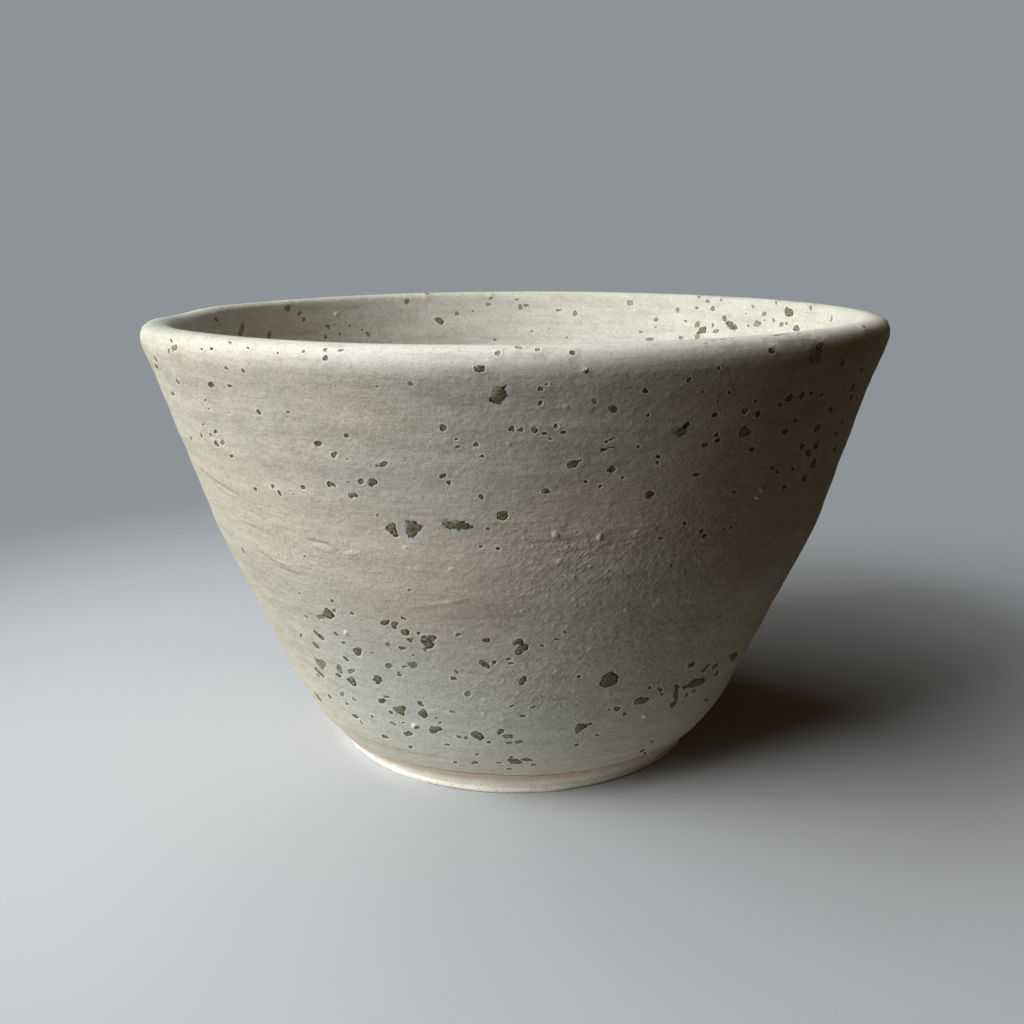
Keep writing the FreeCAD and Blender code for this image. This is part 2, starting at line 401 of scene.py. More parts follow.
# Specks read off the photograph: x, y, length, width in its pixels, and for one that isn't level
# the slant in degrees down to the right. Their places on the pot are where the camera's rays meet it.
specks_seen = {
    "melt": """
    481 369 10 9; 821 347 8 6 -60; 746 432 13 9 -45; 613 410 9 7 50; 573 465 10 6 -15; 391 529 13 8 50;
    371 482 9 8 -40; 352 495 9 6 15; 503 516 11 9 -20; 547 493 9 7 -20; 650 496 9 6 -30; 535 431 7 6 -60;
    328 614 10 8 50; 384 623 10 5 -10; 405 633 11 6 5; 426 643 12 8 30; 394 626 8 6 -40; 357 652 9 8 50;
    352 682 11 6 35; 378 680 9 6 60; 400 711 11 9 55; 423 714 9 6 5; 434 729 12 7; 478 735 15 7 20;
    501 731 8 6 -10; 517 643 11 6 -25; 522 650 13 6 -25; 485 665 13 6 28; 523 680 10 5 -55; 514 762 14 6 10;
    526 760 14 3 -5; 580 729 12 6 -25; 641 701 12 7 -5; 610 680 20 12 -20; 698 682 16 7 -20;
    676 694 14 4 95; 440 321 11 7 40; 788 312 9 8 -50; 703 330 9 6 -40; 796 328 8 6 -60
    """,
    "bloom": """
    498 397 20 12 -55; 412 529 14 13 60; 455 526 28 10 3; 681 433 15 10 -30; 731 325 14 7 35;
    816 357 13 10 -50
    """,
    "strand": """
    502 391 14 3.5 -55; 492 400 9 3.5 -40; 449 528 12 2.5 -12; 461 524 11 3 -28; 414 524 7 2.5 -25;
    409 533 8 2.5 40; 683 431 13 5 -50
    """,
    "dark": """
    443 429 8 7 70; 512 429 6 5; 521 430 6 5; 545 434 6 3; 564 434 5 4; 551 440 4 2; 456 439 3 2;
    458 447 5 2; 476 446 6 5; 482 457 5 2; 443 476 7 5; 449 483 4 3; 481 497 5 4; 541 390 6 4; 547 385 3 2;
    586 373 5 4 30; 646 392 6 5 45; 607 442 4 3; 605 450 8 3 -15; 639 448 3 3; 659 457 5 4 -20;
    658 464 4 2.5 80; 613 470 8 6; 623 478 4 3 -40; 586 483 5 3; 601 487 4 3; 573 353 7 6 70;
    690 381 6 4 -20; 720 370 4 3 80; 719 403 3 2.5 80; 756 402 4 3 80; 758 415 6 5 80; 716 416 5 4 -35;
    718 441 6 4 -30; 706 446 6 3.5 -10; 753 450 6 4 -50; 746 455 3 3; 697 476 6 4.5 -35; 702 531 5 3 -30;
    705 536 4 3 -30; 731 528 4 3 -30; 724 529 3 2 -30; 685 523 4 3; 661 539 4 3; 734 492 4 3 -40;
    773 351 6 4; 842 364 7 5 -65; 860 370 5 3 -65; 790 399 9 6 -35; 802 396 7 5 -50; 811 394 4 3 -40;
    780 406 6 4 -50; 821 396 5 3 -60; 830 410 8 5 -50; 795 421 4 3 -50; 785 432 7 4 -50; 817 428 7 5 -65;
    801 447 7 4 -60; 815 447 6 5 -60; 807 454 6 5 -50; 813 464 9 5 -60; 792 470 4 3; 776 472 3 3;
    804 478 6 4 -60; 783 487 5 4 -30; 852 388 8 2.5 -62; 850 399 8 2.5 -62; 841 422 6 2.5 -62;
    835 435 6 2.5 -62; 833 449 6 3 -62; 828 478 5 3 -62; 692 665 8 5 -35; 704 670 6 3.5 -40;
    708 666 6 2.5 -40; 715 666 6 3 -55; 716 673 6 3 -50; 686 686 10 4 -30; 677 686 5 5; 673 705 6 5 -60;
    734 656 9 5 -55; 748 648 7 3.5 -55; 660 689 4 3.5; 650 688 3 3; 617 709 6 4 -10; 610 710 3 2.5;
    625 714 4 3 -50; 597 735 4 2; 577 745 5 2.5; 590 725 6 3 -20; 643 752 7 2.5 -35; 647 754 3 2;
    557 640 6 2; 565 632 3 2.5; 579 676 4 2.5; 542 646 5 2.5; 523 716 5 2.5; 512 706 4 2 -20; 508 660 6 3;
    511 664 7 2; 494 663 5 4; 487 641 7 4.5; 453 679 5 3.5 10; 432 639 8 4.5 -5; 418 634 4 3.5;
    410 641 6 4 10; 403 619 6 3 5; 402 649 7 3.5 15; 332 601 5 2.5 25; 352 614 5 2.5 35; 301 636 4 2 50;
    319 636 13 3 35; 336 634 7 2.5 40; 346 659 7 2.5 45; 318 672 15 2 45; 317 675 5 1.5 45;
    338 675 9 3.5 35; 329 697 5 2 45; 346 704 4 2 45; 382 701 6 5 30; 391 713 6 2.5 40; 420 704 7 4 35;
    355 717 8 3 30; 361 723 4 1.5 40; 372 717 4 2 45; 403 723 4 2; 408 735 9 4 5; 384 737 9 2.5 25;
    410 748 5 2 20; 447 745 8 2 12; 489 742 5 2.5; 474 764 7 3; 455 764 4 2.5; 499 764 6 1.5 5;
    511 757 4 2.5; 534 765 5 2.5 10; 509 770 6 1.5; 255 489 5 3 60; 272 486 5 3 55; 279 492 8 2 55;
    302 487 5 4 50; 330 485 7 4.5 10; 360 481 7 5 40; 244 551 6 2 60; 488 530 5 3; 481 547 4 3; 498 549 4 3;
    317 443 7 6; 333 454 6 6; 384 464 7 4.5 -15; 210 348 5 4; 323 357 5 4; 146 351 5 2 70; 156 365 5 2 60;
    170 340 4 2 70; 225 368 5 2 25; 242 371 4 2.5 50; 177 381 6 2.5 60; 211 384 5 4.5; 229 386 4 2.5 30;
    172 393 4 2.5 60; 258 412 5 3 50; 214 432 4 3.5; 201 435 4 2 60; 210 435 4 2 60; 216 443 7 3 60;
    231 456 4 3.5 30; 346 436 5 4; 818 442 3 2 -60; 580 461 7 1.5 -42; 612 440 6 1 -15; 612 448 9 1;
    725 339 4 1; 778 335 5 1
    """,
    "grey": """
    324 349 4 3; 276 352 3 2; 302 350 3 3; 339 350 5 3; 228 342 5 3 30; 246 347 4 2 40; 173 347 6 6 60;
    168 350 4 2 80; 200 348 3 2; 156 358 4 2 60; 204 400 3 2.5; 287 412 3 2.5; 202 424 3 2.5; 222 443 4 3.5;
    192 437 4 2 60; 208 409 2 2; 228 413 2 2; 376 386 3 2; 347 459 2 2; 378 466 7 2.5 5; 410 384 5 3;
    595 402 6 3.5 20; 377 516 4 2.5; 347 482 4 2 20; 293 494 2 2; 304 557 3 2; 299 594 2 2; 409 590 3 2;
    671 565 4 3; 315 645 8 3.5 45; 320 664 14 5 35; 339 668 9 5 70; 351 671 7 4 5; 388 666 7 5.5;
    412 666 9 5; 404 667 6 2; 399 674 5 4 70; 374 680 4 3; 387 645 5 3.5; 425 650 5 3.5; 301 678 8 3 75;
    318 697 8 2 55; 314 701 7 2 50; 354 700 6 2 40; 386 697 6 2 20; 393 724 7 2 35; 436 718 3 2;
    440 723 3 2.5; 452 711 7 2 20; 459 737 5 2.5; 466 738 5 4.5 80; 508 736 10 3.5; 509 743 7 3;
    519 742 7 3 -15; 477 755 5 2; 417 728 4 3; 413 656 3 1.5; 372 653 4 1.5; 343 643 4 2 20; 306 617 4 2 30;
    694 691 4 2.5 -40; 686 695 5 3 -40; 706 699 5 3 -40; 533 707 5 2 -15; 653 742 5 2 -40; 662 694 3 2.5;
    704 393 3 2; 456 672 5 2.5 30; 863 327 5 2 10
    """,
    "ringed": """
    498 353 7 4; 519 347 9 4 8; 538 350 6 4 10; 541 404 5 4 80; 556 426 5 4 70; 649 416 3 3; 746 412 6 5;
    717 436 5 4 -20; 458 636 6 4.5; 468 694 7 6; 320 617 5 5; 334 610 4 3.5 50; 342 695 5 4 60; 730 394 5 3;
    772 468 5 4; 631 304 7 6
    """,
    "pale": """
    216 318 5 3 30; 242 328 15 4 95; 270 334 8 3 80; 288 308 7 6; 300 312 5 4; 304 318 4 4; 328 326 4 4;
    326 336 5 3 80; 340 334 3.5 2.5 80; 350 326 2.5 2; 362 330 3 2; 368 334 5 4; 406 302 5 4 30;
    427 295 5 3; 457 314 5 5; 489 305 7 3; 491 299 4 2 -20; 520 307 6 5 80; 526 306 5 3.5; 517 300 4 2;
    473 312 3 2; 559 311 6 2.5 -10; 575 314 5 4 80; 657 320 6 4 -20; 656 327 3 2; 641 332 3 2; 549 329 2 2;
    532 332 3 2.5; 567 338 2 2; 495 340 4 2.5; 650 339 11 4 -5; 678 310 4 4; 700 298 3 2.5; 708 302 5 2.5;
    697 308 4 3; 713 309 6 4.5 70; 722 301 3 2; 686 321 4 2; 697 325 6 4.5 -35; 698 335 8 4 95;
    713 325 5 2.5 90; 725 318 6 4 80; 716 331 5 5; 753 306 3 2.5; 746 313 2 2; 757 323 6 5.5 80;
    748 326 3 2.5; 764 313 5 4.5 45; 764 320 2 2; 773 320 5 2.5 85; 777 304 4 2 80; 781 324 5 4 80;
    786 323 3 2.5; 811 308 4 2 80; 830 318 8 2 -70; 681 338 6 3.5; 800 334 4 2
    """,
    "white": """
    414 726 5 4; 346 633 4 4; 645 716 4 4; 556 536 7 7; 600 537 6 4 -35; 336 314 3 3; 761 490 4 2;
    756 497 3 2; 586 371 3 3
    """,
    "bump": """
    509 444 4 4; 589 545 5 3 -30; 590 567 5 3 -45; 566 408 5 4; 638 532 8 3 -15; 524 539 4 4; 568 548 4 3;
    560 562 4 4; 630 620 5 3 -50; 626 610 4 3 -50; 660 600 4 3 -60; 655 605 4 3 -60; 612 640 4 3 -45;
    590 650 7 3 -30; 575 600 5 4 -40; 556 672 6 3 -40; 632 678 6 3 -45; 640 672 5 3 -45; 575 690 5 3 -40;
    540 690 5 3 -30; 484 699 6 4; 484 714 4 4; 503 719 4 3; 452 569 8 3; 405 548 5 3; 548 622 4 3;
    522 612 4 3; 690 600 4 3 -60; 700 560 4 3 -50; 322 548 30 7 6; 350 553 20 5 4
    """,
}

speck_random = np.random.default_rng(23)
largest_speck = 3.2
smallest_speck = 0.16
nearest_side = 0.65
corner_reach = 1.3
# The oval that a speck is cut from is larger than the speck by this much.
oval_share = 1.15


def chip_sides():
    """The flats of one speck, all round it."""
    sides = []
    side_count = int(speck_random.choice([3, 4, 4, 5, 5, 6]))
    for number in range(side_count):
        direction = TURN * (number + speck_random.uniform(-0.3, 0.3)) / side_count
        sides.append((direction, speck_random.uniform(nearest_side, 1.0)))
    return tuple(sides)


def ray_hit(x, y):
    """Where the camera's ray through a point of the photograph meets the bowl."""
    across = (x - photo_size / 2) / photo_focal_length
    down = (y - photo_size / 2) / photo_focal_length
    return whole_surface.ray_cast(camera_place, camera_ahead + camera_right * across - camera_up * down)[0]


skin_r = outline_r + glaze_thickness * outline_nr
skin_z = outline_z + glaze_thickness * outline_nz


def spot(point):
    """The place on the pot, s and bearing, nearest to a point."""
    gap = np.hypot(skin_r - math.hypot(point.x, point.y), skin_z - point.z)
    return float(outline_s[np.argmin(gap)]), math.atan2(point.x, -point.y)


def speck_from_photo(x, y, length, width, slant, kind):
    """A speck on the pot whose picture has this place, size and slant."""
    middle = ray_hit(x, y)
    if middle is None:
        return None
    s, bearing = spot(middle)
    radius = math.hypot(middle.x, middle.y)
    reach = 2.0
    columns = []
    for dx, dy in ((reach, 0.0), (0.0, reach)):
        ends = [ray_hit(x + way * dx, y + way * dy) for way in (-1.0, 1.0)]
        if None in ends:
            return None
        (s0, b0), (s1, b1) = spot(ends[0]), spot(ends[1])
        columns.append((wrapped(b1 - b0) * radius / (2 * reach), (s1 - s0) / (2 * reach)))
    stretch = np.array(columns).T
    angle = math.radians(slant)
    along = np.array([[math.cos(angle), -math.sin(angle)], [math.sin(angle), math.cos(angle)]])
    axes, sizes, _ = np.linalg.svd(stretch @ along @ np.diag([length / 2, width / 2]))
    long, short = np.clip(sizes * oval_share, smallest_speck, largest_speck)
    tilt = math.atan2(axes[1, 0], axes[0, 0])
    return Speck(s, bearing, long, short, tilt, kind, chip_sides())


def seen_specks():
    specks = []
    for kind, text in specks_seen.items():
        for row in text.split(";"):
            x, y, length, width, slant = [float(word) for word in (row + " 0").split()][:5]
            speck = speck_from_photo(x, y, length, width, slant, kind)
            if speck:
                specks.append(speck)
    return specks


# Specks are scattered in clusters: how many more a cluster has than one, how far it spreads, and
# how long its specks are.
cluster_mean = 2.2
cluster_height = 5.0
cluster_width = 6.0
scattered_length = 0.5
scattered_spread = 0.55
longest_scattered = 2.4
shortest_bloom = 1.8
shortest_melt = 1.2


def scattered_specks(first_s, last_s, middle_bearing, half_width, clusters):
    """Specks where the photograph doesn't reach, in loose clusters like those that it shows."""
    specks = []
    for _ in range(clusters):
        middle_s = speck_random.uniform(first_s, last_s)
        middle_b = middle_bearing + speck_random.uniform(-half_width, half_width)
        radius = radius_at(middle_s, 4.0)
        for _ in range(1 + speck_random.poisson(cluster_mean)):
            s = middle_s + speck_random.normal(0.0, cluster_height)
            bearing = middle_b + speck_random.normal(0.0, cluster_width) / radius
            if not first_s < s < last_s or abs(wrapped(bearing - middle_bearing)) > half_width:
                continue
            long = scattered_length * math.exp(speck_random.normal(0.0, scattered_spread))
            long = min(long, longest_scattered)
            short = long * speck_random.uniform(0.4, 0.95)
            slant = speck_random.normal(0.0, 0.7)
            kind = "bloom" if long > shortest_bloom else "melt"
            if long < shortest_melt:
                kind = str(speck_random.choice(["dark", "dark", "dark", "grey", "ringed"]))
            long, short = max(long, smallest_speck), max(short, smallest_speck)
            specks.append(Speck(s, bearing, long, short, slant, kind, chip_sides()))
    return specks


# The photograph shows the outside for this far to each side, and the back of the inside near the lip.
photo_half_width = math.radians(70.0)
hidden_lip_half_width = math.radians(80.0)
back_bearing = math.pi
back_clusters = 130
inside_clusters = 85
hidden_lip_clusters = 12
specks = seen_specks()
specks += scattered_specks(
    crest_s + 3.0, glaze_line_s - 2.0, back_bearing, math.pi - photo_half_width, back_clusters
)
specks += scattered_specks(4.0, crest_s - 16.0, 0.0, math.pi, inside_clusters)
specks += scattered_specks(crest_s - 15.0, crest_s - 2.0, 0.0, hidden_lip_half_width, hidden_lip_clusters)


def speck_edge(speck, angle):
    """Distance from a speck's middle to its edge, at an angle from its long axis."""
    oval = speck.long * speck.short / np.hypot(speck.short * np.cos(angle), speck.long * np.sin(angle))
    flats = np.max([np.cos(angle - direction) / share for direction, share in speck.sides], axis=0)
    return oval / np.maximum(flats, 1.0 / corner_reach)


def around(speck, share, beyond, count):
    """Places on the pot round a speck: at a share of the way to its edge, and a distance beyond that."""
    angle = np.linspace(0.0, TURN, count, endpoint=False) + speck.sides[0][0]
    reach = np.maximum(share * speck_edge(speck, angle) + beyond, 0.02 if share else 0.0)
    across = reach * np.cos(angle + speck.slant)
    along = reach * np.sin(angle + speck.slant)
    return speck.s + along, speck.bearing + across / radius_at(speck.s)


def near(speck, s, bearing, margin):
    """Which places lie near a speck, and how far each is beyond its edge."""
    reach = corner_reach * speck.long + margin
    index = np.flatnonzero(np.abs(s - speck.s) < reach)
    across = wrapped(bearing[index] - speck.bearing) * radius_at(speck.s)
    along = s[index] - speck.s
    distance = np.hypot(across, along)
    close = distance < reach
    angle = np.arctan2(along[close], across[close]) - speck.slant
    return index[close], distance[close] - speck_edge(speck, angle)


# ---------------------------------------------------------------- colour zones
# Where the glaze is thin and pinkish, where it is thick and cooler, and where its fine bumps stand
# up most, with painted shade in their hollows and painted highlights on their ridges: the seed and
# number of the zones unseen, and for those seen x, y and radius in the photograph's pixels, and how
# strongly.
zones_seen = {
    "thin": (31, 6, """
    250 512 48 1; 430 585 60 .7; 600 520 60 .6; 380 572 30 .5; 700 690 25 .4; 470 760 40 .3
    """),
    "cool": (32, 6, """
    400 690 95 1; 440 740 60 .8; 360 480 40 .5; 500 400 45 .7; 250 590 40 .4; 560 730 60 .5
    """),
    "rough": (33, 5, """
    640 600 75 1; 600 680 60 .9; 690 650 50 .9; 560 560 45 .7; 700 520 50 .6; 520 690 40 .5; 300 560 40 .5
    """),
}
hidden_bearings = (math.pi - 1.9, math.pi + 1.9)


def zones(seed, extra, rows):
    """Soft round zones as s, bearing, radius and strength: those seen, and others unseen."""
    random = np.random.default_rng(seed)
    found = []
    for row in rows.split(";"):
        x, y, radius, strength = (float(word) for word in row.split())
        hit = ray_hit(x, y)
        if hit is not None:
            depth = (hit - camera_place).dot(camera_ahead)
            found.append((*spot(hit), radius * depth / photo_focal_length, strength))
    for bearings, reach, strongest in (
        (hidden_bearings, (crest_s + 8.0, glaze_line_s), 1.0),
        ((0.0, TURN), (10.0, crest_s - 8.0), 0.9),
    ):
        for _ in range(extra):
            bearing = random.uniform(*bearings)
            s = random.uniform(*reach)
            found.append((s, bearing, random.uniform(6.0, 14.0), random.uniform(0.4, strongest)))
    return found


def zone_strength(found, s, bearing):
    total = np.zeros(len(s))
    radius_here = at(s, outline_r)
    for middle_s, middle_bearing, radius, strength in found:
        across = wrapped(bearing - middle_bearing) * radius_here
        total += strength * np.exp(-(across ** 2 / 2.2 + (s - middle_s) ** 2) / radius ** 2)
    return np.clip(total, 0.0, 1.0)


# The glaze is paler over the lip, more so on its outer side: partly thin glaze, partly a painted
# highlight, strongest at the front, half as strong at the sides and back, and gone at the left end.
lip_thin_and_highlight_middle = 1.5
lip_thin_and_highlight_width = 3.4
# The glaze is darkened in the creases as painted shade, fully where they are this deep.
crease_shade_full_depth = 0.12
# A thin brown line of painted shadow follows the glaze's lower edge at the front and the right.
glaze_edge_shadow_inset = 0.22
glaze_edge_shadow_bearing = 0.7

# ---------------------------------------------------------------- the glaze skin
outer_spacing = 1.25
inner_spacing = 1.35
ring_count = 480
glaze_edge_round = 0.5
glaze_edge_rows = (0.0, 0.05, 0.15, 0.3, 0.5, 0.8)
# Rings of places round each speck longer than this: how many places a ring has, and each ring's
# share of the way to the speck's edge and its distance beyond that.
speck_rings = (
    (1.1, 26, (
        (0.3, 0.0), (0.65, 0.0), (1.0, -0.1), (1.0, 0.0), (1.0, 0.1), (1.0, 0.25), (1.0, 0.5), (1.0, 1.1),
    )),
    (0.34, 12, ((1.0, -0.09), (1.0, 0.0), (1.0, 0.09), (1.0, 0.22), (1.0, 0.42))),
    (0.0, 10, ((1.0, -0.06), (1.0, 0.05), (1.0, 0.2), (1.0, 0.42))),
)
speck_clearance = 0.35
crest_clearance = 0.08


def skin_rows():
    """Even places over the glaze, with its crest and its lower edge as rings."""
    rings = [(crest_s, ring_count)]
    rings += [(glaze_line_s - inset, ring_count) for inset in glaze_edge_rows]
    rows = list(rings)
    for start, end, spacing in (
        (0.8, crest_s, inner_spacing),
        (crest_s, glaze_line_s - glaze_edge_rows[-1], outer_spacing),
    ):
        steps = round((end - start) / (spacing * 0.88))
        for s in np.linspace(start, end, steps + 1)[1:-1]:
            rows.append((s, max(6, round(TURN * float(at(s, outline_r)) / spacing))))
    return rows


def crease_places():
    """Close rows of places along each crease."""
    outside = outline_s > crest_s + 3.0
    found_s = []
    found_b = []
    for first, start, last, end, _ in creases:
        share = np.linspace(0.0, 1.0, round(abs(last - first) * glaze_rim_radius))
        s = np.interp(start + share * (end - start), outline_z[outside][::-1], outline_s[outside][::-1])
        for step in (-0.7, -0.35, -0.12, 0.12, 0.35, 0.7):
            found_s.append(s + step)
            found_b.append(first + share * (last - first))
    return np.concatenate(found_s), np.concatenate(found_b)


def skin_points():
    """All places of the skin as s and bearing, with the crest's ring first."""
    rows = []
    for number, (s, count) in enumerate(skin_rows()):
        is_ring = number <= len(glaze_edge_rows)
        stagger = 0.0 if is_ring else 0.5 * (number % 2)
        bearing = (np.arange(count) + stagger) / count * TURN
        rows.append((np.full(count, s), bearing, np.full(count, is_ring)))
    s, bearing, fixed = (np.concatenate(part) for part in zip(*rows))
    crowded = np.zeros(len(s), dtype=bool)
    added = [crease_places(), (np.array([0.0]), np.array([0.0]))]
    for speck in specks:
        count, rings = next(found[1:] for found in speck_rings if speck.long > found[0])
        last_ring = rings[-1][1]
        index, beyond = near(speck, s, bearing, last_ring + 0.4)
        crowded[index[beyond < last_ring + speck_clearance]] = True
        added.append((np.array([speck.s]), np.array([speck.bearing])))
        for share, beyond in rings:
            ring_s, ring_b = around(speck, share, beyond, count)
            clear = ring_s < glaze_line_s - glaze_edge_rows[-1]
            clear &= np.abs(ring_s - crest_s) > crest_clearance
            added.append((ring_s[clear], ring_b[clear]))
    keep = fixed | ~crowded
    return [np.concatenate(part) for part in zip((s[keep], bearing[keep]), *added)]


def skin_triangles(s, bearing):
    """Triangles between the places, found on the disc, where the crest's ring is kept as edges."""
    disc = at(s, outline_disc)
    flat = [Vector((d * math.cos(b), d * math.sin(b))) for d, b in zip(disc, bearing)]
    crest = [(i, (i + 1) % ring_count) for i in range(ring_count)]
    corners, _, faces, sources, _, _ = delaunay_2d_cdt(flat, crest, [], 0, 1e-7, True)
    first_source = np.array([ids[0] for ids in sources])
    return first_source[np.array(faces)]


def glaze_lift(s, bearing):
    """The glaze's height over the clay: full, but thinner near its lower edge and rounded off there."""
    above = glaze_line_s - s
    thinned = 0.45 + 0.55 * ramp(above, 0.0, 7.0)
    left = 0.5 + 0.5 * np.cos(bearing - math.radians(120.0))
    thinned = thinned * (0.55 + 0.45 * np.maximum(left, ramp(above, 0.0, 9.0)))
    rounded = np.sqrt(1.0 - (1.0 - np.clip(above / glaze_edge_round, 0.0, 1.0)) ** 2)
    return glaze_thickness * thinned * rounded


def glaze_line_wander(s, bearing):
    """The lower edge of the dipped glaze isn't level: places near it move up or down with it."""
    points = plain_place(np.full(len(s), glaze_line_s), bearing)
    wander = 0.45 * np.sin(bearing - 0.4)
    wander += 0.3 * ripple(points, "glaze line") + 0.1 * ripple(points, "glaze line waver")
    return wander * ramp(s, glaze_line_s - 9.0, glaze_line_s - 0.5)


# The kinds of speck that are melted grains in the glaze.
grain_kinds = ("melt", "bloom")

# For each kind of speck: how far its own colour covers the glaze; how strong its thin pale halo
# is; how far it stands up; and how far its rim does.
SpeckLook = namedtuple("SpeckLook", "cover halo height rim")
speck_looks = {
    "melt": SpeckLook(1.0, 0.7, -0.07, 0.02),
    "bloom": SpeckLook(1.0, 0.2, -0.05, 0.0),
    "strand": SpeckLook(1.0, 0.0, -0.04, 0.0),
    "dark": SpeckLook(0.97, 0.9, -0.06, 0.02),
    "grey": SpeckLook(0.82, 0.5, -0.04, 0.01),
    "ringed": SpeckLook(0.66, 1.0, -0.08, 0.06),
    "pale": SpeckLook(0.78, 0.3, -0.03, 0.0),
    "white": SpeckLook(0.0, 1.0, 0.28, 0.0),
    # a bump's pale top is a painted highlight on the raised glaze
    "bump": SpeckLook(0.0, 0.3, 0.09, 0.0),
}
speck_blur = 0.1
bloom_blur = 0.4
halo_width = 0.26
# The wide cold halo of a bloom, and the fainter one of a melt.
cold_halo_width = 1.8
melt_coldness = 0.2


def speck_fields(s, bearing):
    """What the specks do at each place, as fields for the glaze's material, and their relief.

    speck falls from 1 to 0 across each speck's edge, cover is how strong its colour is, heart
    is 1 well inside it, strand is 1 along a dark strand of it, halo is its thin pale outline and
    cold the wide one of a large melt.
    """
    fields = {name: np.zeros(len(s)) for name in ("speck", "cover", "heart", "strand", "halo", "cold")}
    relief = np.zeros(len(s))
    for speck in specks:
        look = speck_looks[speck.kind]
        index, beyond = near(speck, s, bearing, cold_halo_width)
        blur = bloom_blur if speck.kind == "bloom" else speck_blur
        ring = ramp(beyond, 0.0, 0.06) * (1.0 - ramp(beyond, 0.5 * halo_width, 1.3 * halo_width))
        found = {"halo": look.halo * ring}
        if look.cover:
            inner = 1.0 - ramp(beyond, -blur, blur)
            found["speck"] = inner
            found["cover"] = look.cover * (beyond < 2.5 * blur)
            if speck.kind == "strand":
                found["strand"] = inner
            else:
                found["heart"] = 1.0 - ramp(beyond, -0.5, -0.1)
        else:
            # A white speck or a bump is pale all over its top; on a bump this is a painted highlight.
            inner = 1.0 - ramp(beyond, -0.6 * speck.short, 0.15)
            found["halo"] = np.maximum(found["halo"], look.halo * inner)
        if speck.kind in grain_kinds:
            coldness = 1.0 if speck.kind == "bloom" else melt_coldness
            found["cold"] = coldness * (1.0 - ramp(beyond, 0.2, cold_halo_width))
        for name, values in found.items():
            fields[name][index] = np.maximum(fields[name][index], values)
        relief[index] += look.height * inner + look.rim * ring
    return fields, relief


def vertex_normals(points, triangles):
    a, b, c = (points[triangles[:, i]] for i in range(3))
    face_normals = np.cross(b - a, c - a)
    normals = np.zeros_like(points)
    for i in range(3):
        np.add.at(normals, triangles[:, i], face_normals)
    return normals / np.maximum(np.linalg.norm(normals, axis=1, keepdims=True), 1e-12)


def new_mesh(name, points, faces):
    mesh = bpy.data.meshes.new(name)
    mesh.from_pydata((points * MM).tolist(), [], faces)
    mesh.polygons.foreach_set("use_smooth", [True] * len(mesh.polygons))
    return mesh


def add_piece(name, mesh, material, replaced):
    piece = add_object(name, mesh)
    mesh.materials.append(material)
    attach(piece, "root")
    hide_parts(replaced)


def write_field(mesh, name, values):
    field = mesh.attributes.new(name, "FLOAT", "POINT")
    field.data.foreach_set("value", np.asarray(values, dtype=np.float32))


Skin = namedtuple("Skin", "points triangles normals fields is_liner")


def make_skin():
    """The whole glazed surface, which the two coats share."""
    s, bearing = skin_points()
    triangles = skin_triangles(s, bearing)
    fields, speck_relief = speck_fields(s, bearing)
    lift = glaze_lift(s, bearing)
    sunk = speck_relief * np.minimum(lift / glaze_thickness, 1.0)
    points = place(s + glaze_line_wander(s, bearing), bearing, lift + sunk)
    normals = vertex_normals(points, triangles)
    if normals[0, 2] < 0.0:
        triangles = triangles[:, ::-1]
        normals = -normals
    for name, seen in zones_seen.items():
        fields[name] = zone_strength(zones(*seen), s, bearing)
    # The lip's pale band: partly thin glaze, partly a painted highlight, strongest at the front and gone at
    # the left end.
    lip = 1.0 - ramp(np.abs(s - crest_s - lip_thin_and_highlight_middle), 0.7 * lip_thin_and_highlight_width, lip_thin_and_highlight_width)
    side = wrapped(bearing)
    fields["lip"] = lip * (0.5 + 0.5 * ramp(np.abs(side), 1.0, 0.3)) * (1.0 - at_left(side) ** 0.5)
    # Painted shade on the lip's top at its left end.
    fields["lip_top_shade"] = at_left(side) * (1.0 - ramp(np.abs(s - crest_s + 0.9), 2.4, 3.6))
    # Painted shade in the creases, by their depth.
    down = np.where(s > crest_s, -crease_relief(plain_place(s, bearing)[:, 2], side), 0.0)
    fields["crease"] = np.clip(down / crease_shade_full_depth, 0.0, 1.0)
    # Painted shadow under the glaze's lower edge, at the front and the right.
    glaze_edge_shadow_band = 1.0 - ramp(np.abs(glaze_line_s - glaze_edge_shadow_inset - s), 0.14, 0.34)
    fields["glaze_edge_shadow"] = glaze_edge_shadow_band * ramp(np.abs(wrapped(bearing - glaze_edge_shadow_bearing)), 1.4, 0.8)
    is_liner = s[triangles].mean(axis=1) < crest_s
    return Skin(points, triangles, normals, fields, is_liner)


def ring_faces(row, after):
    """Faces between two rows of a turned surface, seen from outside where s grows from row to after."""
    count = len(row)
    return [(row[i], after[i], after[(i + 1) % count], row[(i + 1) % count]) for i in range(count)]


def shell_faces(rows):
    """Faces along a closed shell's rows, where a row of one point closes the shell over it."""
    faces = []
    for row, after in zip(rows, rows[1:]):
        count = max(len(row), len(after))
        if len(row) == 1:
            faces += [(row[0], after[i], after[(i + 1) % count]) for i in range(count)]
        elif len(after) == 1:
            faces += [(row[i], after[0], row[(i + 1) % count]) for i in range(count)]
        else:
            faces += ring_faces(row, after)
    return faces


def seam_faces(row, ring):
    """Faces from a back row to the skin's border ring, which has twice as many places."""
    faces = []
    for i in range(len(row)):
        here, next_here = row[i], row[(i + 1) % len(row)]
        first, middle, last = ring[2 * i], ring[2 * i + 1], ring[(2 * i + 2) % len(ring)]
        faces += [(here, next_here, middle), (next_here, last, middle), (here, middle, first)]
    return faces


def turned_over(faces):
    return [tuple(reversed(face)) for face in faces]


